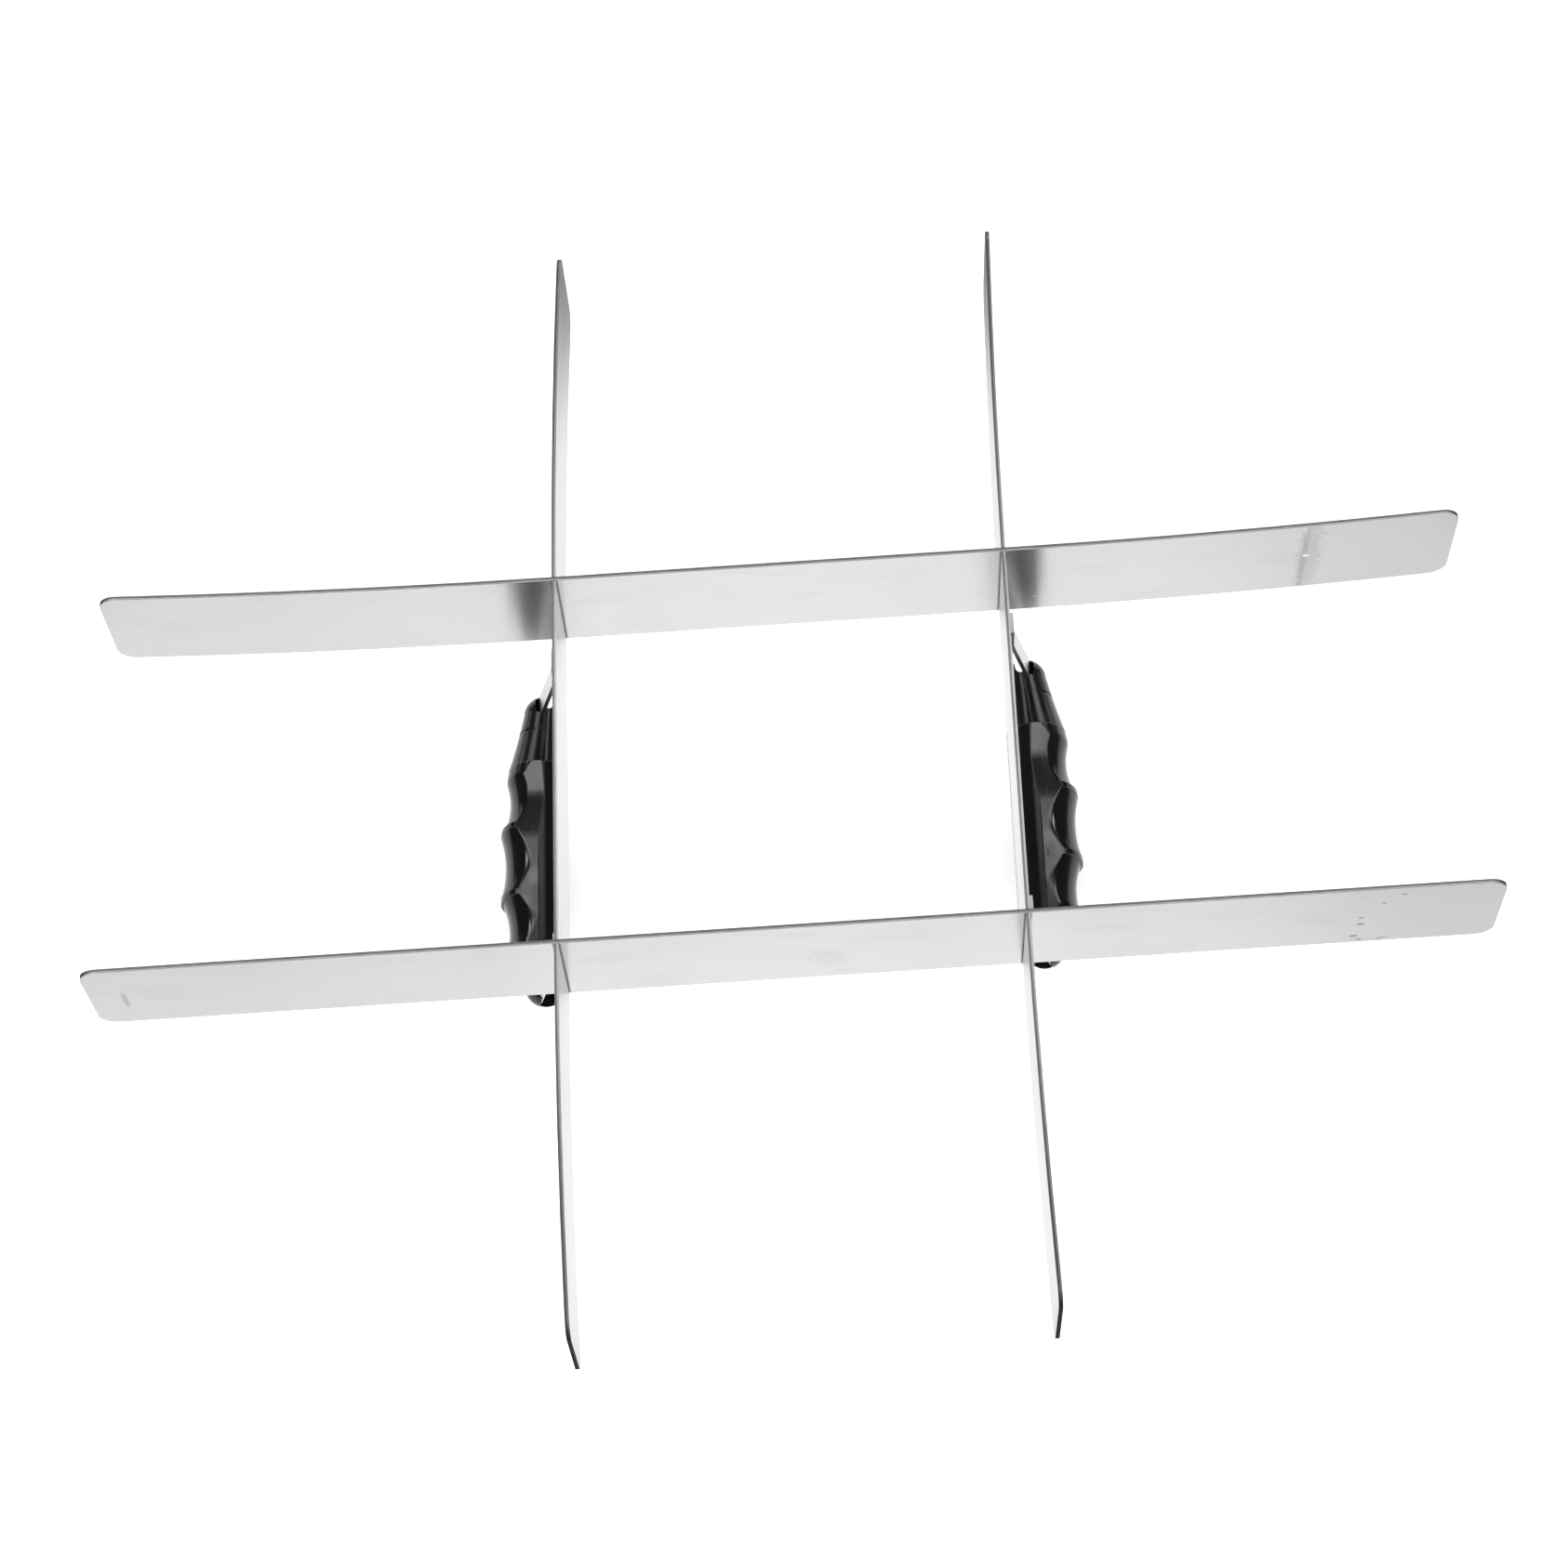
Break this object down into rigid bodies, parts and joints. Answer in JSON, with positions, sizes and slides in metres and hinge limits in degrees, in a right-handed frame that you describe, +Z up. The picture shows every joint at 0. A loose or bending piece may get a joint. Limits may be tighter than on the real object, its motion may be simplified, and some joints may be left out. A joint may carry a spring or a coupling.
{
  "type": "cake portion marker",
  "caption": "Grid of crossed steel strips set on edge, with a moulded finger grip at each side, for marking equal portions on a sheet cake.",
  "frame": {"origin": "middle of the footprint, on the surface the two grips rest on", "axes": "+Z up, towards the marking edges; +X along the long blades; +Y along the short blades, away from the camera"},
  "size_m": [0.4892, 0.4159, 0.078],
  "materials": {
    "blade_steel": "satin, brushed lengthwise",
    "plate_steel": "rolled and stamped",
    "grip_plastic": "black, glossy, moulded"
  },
  "bodies": {
    "root": {"long_blade_back": "blade_steel", "long_blade_front": "blade_steel", "short_blade_left": "blade_steel", "short_blade_right": "blade_steel", "handle_plate_left": "plate_steel", "handle_plate_right": "plate_steel", "grip_left": "grip_plastic", "grip_right": "grip_plastic"}
  },
  "joints": []
}
